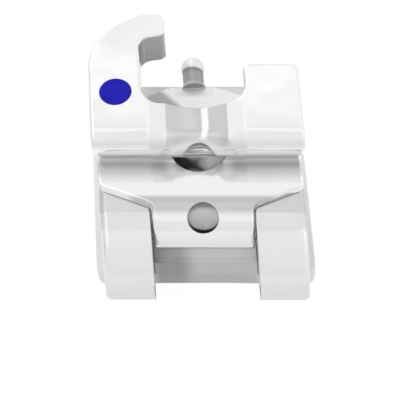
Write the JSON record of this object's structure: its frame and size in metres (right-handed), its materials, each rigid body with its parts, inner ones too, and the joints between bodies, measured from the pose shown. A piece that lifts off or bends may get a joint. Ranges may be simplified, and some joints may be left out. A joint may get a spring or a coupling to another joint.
{
  "type": "orthodontic bracket",
  "caption": "Self-ligating orthodontic bracket with a sliding C-shaped spring clip over the archwire slot, tie wings, an elastic hook and a grooved bonding pad.",
  "frame": {"origin": "on the plane that the bonding pad's edges rest on, under the slot's crossing with the long axis, near the middle of the pad", "axes": "+Z away from the tooth, +Y towards the gum, +X along the archwire slot"},
  "size_m": [0.0038, 0.0046, 0.0026],
  "materials": {
    "polished_steel": "polished",
    "pad_steel": "polished",
    "spring_steel": "polished",
    "blue_enamel": "gloss"
  },
  "bodies": {
    "body": {"bracket_body": "polished_steel", "bonding_pad": "pad_steel", "colour_dot": "blue_enamel"},
    "clip": {"spring_clip": "spring_steel"}
  },
  "joints": [
    {"name": "clip_slide", "type": "slide", "parent": "body", "child": "clip", "axis": [0.0785, -0.9969, 0], "range_m": [0, 0.0006]}
  ]
}
